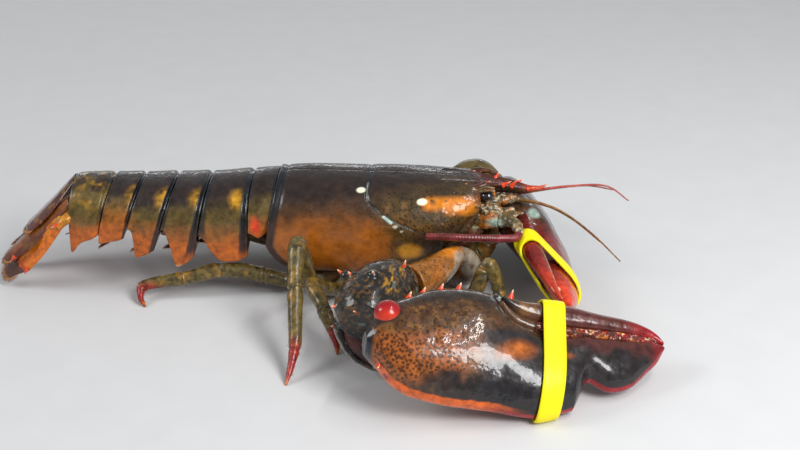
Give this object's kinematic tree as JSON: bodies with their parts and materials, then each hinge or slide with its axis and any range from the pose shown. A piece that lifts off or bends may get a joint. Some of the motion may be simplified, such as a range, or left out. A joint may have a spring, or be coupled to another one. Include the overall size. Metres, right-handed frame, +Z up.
{
  "type": "american lobster model",
  "caption": "Life-size american lobster resting on its belly, with tail raised behind, walking legs and two claws, each held shut by a rubber band.",
  "frame": {"origin": "centre of the bounding box at its base, on the floor the lobster rests on", "axes": "+X from tail to head, +Y to the lobster's left, +Z up"},
  "size_m": [0.4214, 0.3164, 0.076],
  "materials": {
    "carapace_shell": "wet glossy shell, dark back grading to orange sides",
    "belly_shell": "paler orange-brown underside shell",
    "tail_shell": "wet glossy shell, dark back, olive flanks, orange side plates",
    "tail_fan": "wet brown-red shell with fine ridges and a pale fringe",
    "tail_fan_outer": "wet orange shell with a red tip and a pale fringe",
    "eye": "glossy black",
    "face": "olive-brown shell with pale flecks",
    "feeler": "reddish brown, ringed",
    "swimmeret": "dark red-brown, soft edge",
    "leg": "olive-brown mottled shell, crimson towards the tip",
    "claw_arm": "orange shell with dark speckles",
    "claw_wrist": "black-brown shell with olive mottling and orange spines",
    "claw_shell": "wet glossy shell, speckled orange-brown to near-black, crimson margins",
    "band": "plain bright yellow rubber"
  },
  "bodies": {
    "root": {"carapace": "carapace_shell", "sternum": "belly_shell", "abdomen_1": "tail_shell", "abdomen_2": "tail_shell", "abdomen_3": "tail_shell", "abdomen_4": "tail_shell", "abdomen_5": "tail_shell", "abdomen_6": "tail_shell", "telson": "tail_fan", "uropod_right_inner": "tail_fan", "uropod_left_inner": "tail_fan", "uropod_right_outer": "tail_fan_outer", "uropod_left_outer": "tail_fan_outer", "swimmeret_right_2": "swimmeret", "swimmeret_right_3": "swimmeret", "swimmeret_right_4": "swimmeret", "swimmeret_right_5": "swimmeret", "swimmeret_left_2": "swimmeret", "swimmeret_left_3": "swimmeret", "swimmeret_left_4": "swimmeret", "swimmeret_left_5": "swimmeret", "leg_right_2_upper": "leg", "leg_right_2_lower": "leg", "leg_right_3_upper": "leg", "leg_right_3_lower": "leg", "leg_right_4_upper": "leg", "leg_right_4_lower": "leg", "leg_right_5_upper": "leg", "leg_right_5_lower": "leg", "leg_left_2_upper": "leg", "leg_left_2_lower": "leg", "leg_left_3_upper": "leg", "leg_left_3_lower": "leg", "leg_left_4_upper": "leg", "leg_left_4_lower": "leg", "leg_left_5_upper": "leg", "leg_left_5_lower": "leg", "claw_right_arm": "claw_arm", "claw_right_wrist": "claw_wrist", "claw_right_palm": "claw_shell", "claw_right_finger": "claw_shell", "claw_right_band": "band", "claw_left_arm": "claw_arm", "claw_left_wrist": "claw_wrist", "claw_left_palm": "claw_shell", "claw_left_finger": "claw_shell", "claw_left_band": "band", "eye_right": "eye", "eye_left": "eye", "eyestalk_right": "face", "eyestalk_left": "face", "antenna_right_base": "face", "antenna_left_base": "face", "antenna_right_whip": "feeler", "antenna_left_whip": "feeler", "antennule_right": "feeler", "antennule_left": "feeler", "maxilliped_right": "face", "maxilliped_left": "face"}
  },
  "joints": []
}
